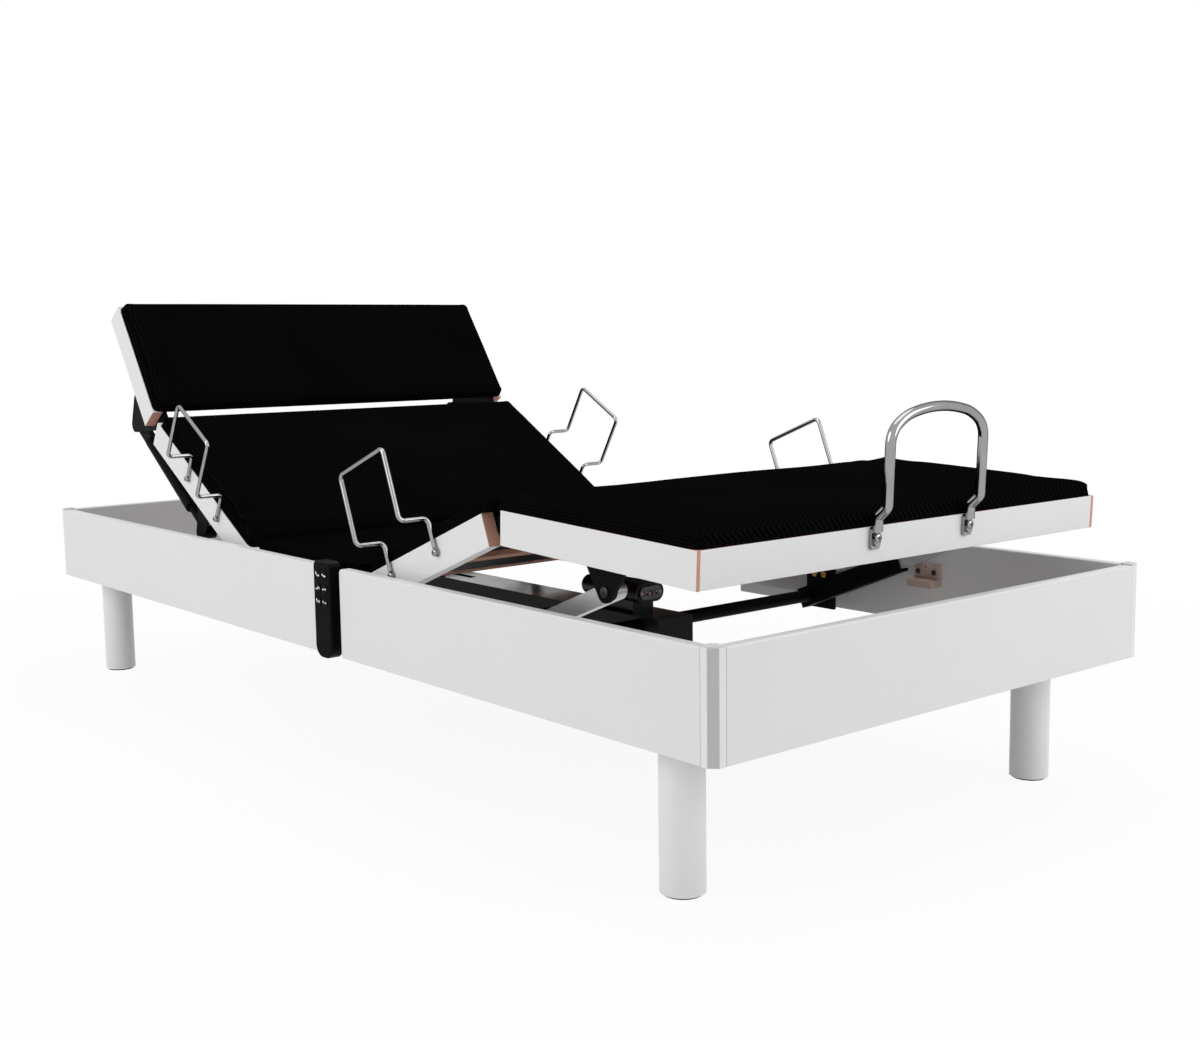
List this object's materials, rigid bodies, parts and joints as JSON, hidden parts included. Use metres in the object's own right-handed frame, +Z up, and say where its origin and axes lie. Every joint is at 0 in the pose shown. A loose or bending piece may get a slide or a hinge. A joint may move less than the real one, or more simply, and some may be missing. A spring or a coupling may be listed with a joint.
{
  "type": "adjustable bed base",
  "caption": "Low adjustable bed base: white panel surround on round legs, hinged upholstered neck, back, thigh and calf sections, wire mattress retainers, foot arch and handset.",
  "frame": {"origin": "on the floor, under the middle of the surround", "axes": "+X towards the foot end, +Y towards the far side, +Z up; the near side with the handset is -Y"},
  "size_m": [2, 0.941, 0.7765],
  "materials": {
    "white_laminate": "satin white laminate on fibreboard",
    "white_lacquer": "satin white lacquer",
    "post_white": "white extruded profile",
    "facet_grey": "grey anodised strip",
    "black_steel": "black powder coat",
    "zinc_steel": "zinc plated",
    "bright_chrome": "polished chrome",
    "mesh_black": "black spacer mesh",
    "board_black": "black faced board",
    "raw_batten": "raw planed timber",
    "drive_black": "black moulded plastic",
    "drive_grey": "grey moulded plastic",
    "motor_steel": "steel can and cast gear block",
    "pale_plastic": "pale moulded plastic",
    "foot_rubber": "felt-like rubber glide",
    "white_steel": "white powder coat",
    "button_rubber": "soft key with white mark"
  },
  "bodies": {
    "base": {"head_panel": "white_laminate", "foot_panel": "white_laminate", "side_panels": "white_laminate", "corner_posts": "post_white", "corner_facets": "facet_grey", "legs": "white_lacquer", "leg_glides": "foot_rubber", "leg_plates": "zinc_steel", "base_frame": "white_steel", "tube_bearings": "black_steel", "rest_blocks": "pale_plastic", "seat_rails": "white_laminate", "seat_deck": "board_black", "seat_pad": "mesh_black", "seat_hinges": "black_steel", "drive_lower_shell": "drive_black", "drive_top_cover": "drive_grey", "drive_motors": "motor_steel", "control_box": "drive_black", "control_sockets": "drive_grey", "handset_cradle": "drive_black"},
    "back": {"back_rails": "white_laminate", "back_battens": "raw_batten", "back_deck": "board_black", "back_pad": "mesh_black", "back_brackets": "black_steel", "back_lever": "black_steel", "back_retainers": "bright_chrome", "back_retainer_bolts": "bright_chrome"},
    "neck": {"neck_rails": "white_laminate", "neck_deck": "board_black", "neck_pad": "mesh_black", "neck_lugs": "black_steel"},
    "stay_rods": {"stay_rods": "black_steel"},
    "stay_tubes": {"stay_tubes": "black_steel"},
    "thigh": {"thigh_rails": "white_laminate", "thigh_battens": "raw_batten", "thigh_deck": "board_black", "thigh_pad": "mesh_black", "thigh_hinges": "black_steel", "thigh_retainers": "bright_chrome", "thigh_retainer_bolts": "bright_chrome"},
    "calf": {"calf_rails": "white_laminate", "calf_battens": "raw_batten", "calf_deck": "board_black", "calf_pad": "mesh_black", "calf_brackets": "black_steel", "foot_arch": "bright_chrome"},
    "leg_arms": {"arm_tubes": "black_steel", "arm_bars": "zinc_steel", "torsion_tube": "black_steel"},
    "back_pusher": {"back_pusher": "drive_grey"},
    "leg_pusher": {"leg_pusher": "drive_grey"},
    "handset": {"handset_case": "drive_black"},
    "button_back_up": {"button_back_up": "button_rubber"},
    "button_back_down": {"button_back_down": "button_rubber"},
    "button_legs_up": {"button_legs_up": "button_rubber"},
    "button_legs_down": {"button_legs_down": "button_rubber"},
    "button_both_up": {"button_both_up": "button_rubber"},
    "button_both_down": {"button_both_down": "button_rubber"}
  },
  "joints": [
    {"name": "back_tilt", "type": "hinge", "parent": "base", "child": "back", "pos_m": [-0.193, 0, 0.318], "axis": [0, 1, 0], "range_deg": [-30, 35]},
    {"name": "neck_tilt", "type": "hinge", "parent": "back", "child": "neck", "pos_m": [-0.57578, 0, 0.539], "axis": [0, 1, 0], "range_deg": [-25.5, 9.5]},
    {"name": "stay_swing", "type": "hinge", "parent": "back", "child": "stay_rods", "pos_m": [-0.44036, 0, 0.33957], "axis": [0, 1, 0], "range_deg": [-8.56, 3.32]},
    {"name": "stay_slide", "type": "slide", "parent": "stay_rods", "child": "stay_tubes", "axis": [-0.8244, 0, 0.566], "range_m": [-0.04412, 0.01675]},
    {"name": "thigh_lift", "type": "hinge", "parent": "base", "child": "thigh", "pos_m": [0.188, 0, 0.318], "axis": [0, -1, 0], "range_deg": [-21.5, 13.5]},
    {"name": "knee_fold", "type": "hinge", "parent": "thigh", "child": "calf", "pos_m": [0.53053, 0, 0.44433], "axis": [0, -1, 0], "range_deg": [-15.24, 24.15]},
    {"name": "leg_arm_turn", "type": "hinge", "parent": "base", "child": "leg_arms", "pos_m": [0.404, 0, 0.232], "axis": [0, -1, 0], "range_deg": [-20.28, 12.81]},
    {"name": "back_push", "type": "slide", "parent": "base", "child": "back_pusher", "axis": [-1, 0, 0], "range_m": [-0.06082, 0.07087]},
    {"name": "leg_push", "type": "slide", "parent": "base", "child": "leg_pusher", "axis": [1, 0, 0], "range_m": [-0.02121, 0.01351]},
    {"name": "handset_lift", "type": "slide", "parent": "base", "child": "handset", "axis": [0, 0, 1], "range_m": [0, 0.085]},
    {"name": "button_back_up_press", "type": "slide", "parent": "handset", "child": "button_back_up", "axis": [0, 1, 0], "range_m": [0, 0.0015], "stiffness_N_per_m": 600, "springref_m": -0.001},
    {"name": "button_back_down_press", "type": "slide", "parent": "handset", "child": "button_back_down", "axis": [0, 1, 0], "range_m": [0, 0.0015], "stiffness_N_per_m": 600, "springref_m": -0.001},
    {"name": "button_legs_up_press", "type": "slide", "parent": "handset", "child": "button_legs_up", "axis": [0, 1, 0], "range_m": [0, 0.0015], "stiffness_N_per_m": 600, "springref_m": -0.001},
    {"name": "button_legs_down_press", "type": "slide", "parent": "handset", "child": "button_legs_down", "axis": [0, 1, 0], "range_m": [0, 0.0015], "stiffness_N_per_m": 600, "springref_m": -0.001},
    {"name": "button_both_up_press", "type": "slide", "parent": "handset", "child": "button_both_up", "axis": [0, 1, 0], "range_m": [0, 0.0015], "stiffness_N_per_m": 600, "springref_m": -0.001},
    {"name": "button_both_down_press", "type": "slide", "parent": "handset", "child": "button_both_down", "axis": [0, 1, 0], "range_m": [0, 0.0015], "stiffness_N_per_m": 600, "springref_m": -0.001}
  ],
  "couplings": [
    {"joint": "stay_swing", "follows": "neck_tilt", "ratio": 0.328},
    {"joint": "stay_slide", "follows": "neck_tilt", "m_per_rad": 0.098},
    {"joint": "knee_fold", "follows": "thigh_lift", "ratio": -1.114},
    {"joint": "leg_arm_turn", "follows": "thigh_lift", "ratio": 0.934},
    {"joint": "back_push", "follows": "back_tilt", "m_per_rad": 0.1152},
    {"joint": "leg_push", "follows": "thigh_lift", "m_per_rad": 0.055199}
  ]
}
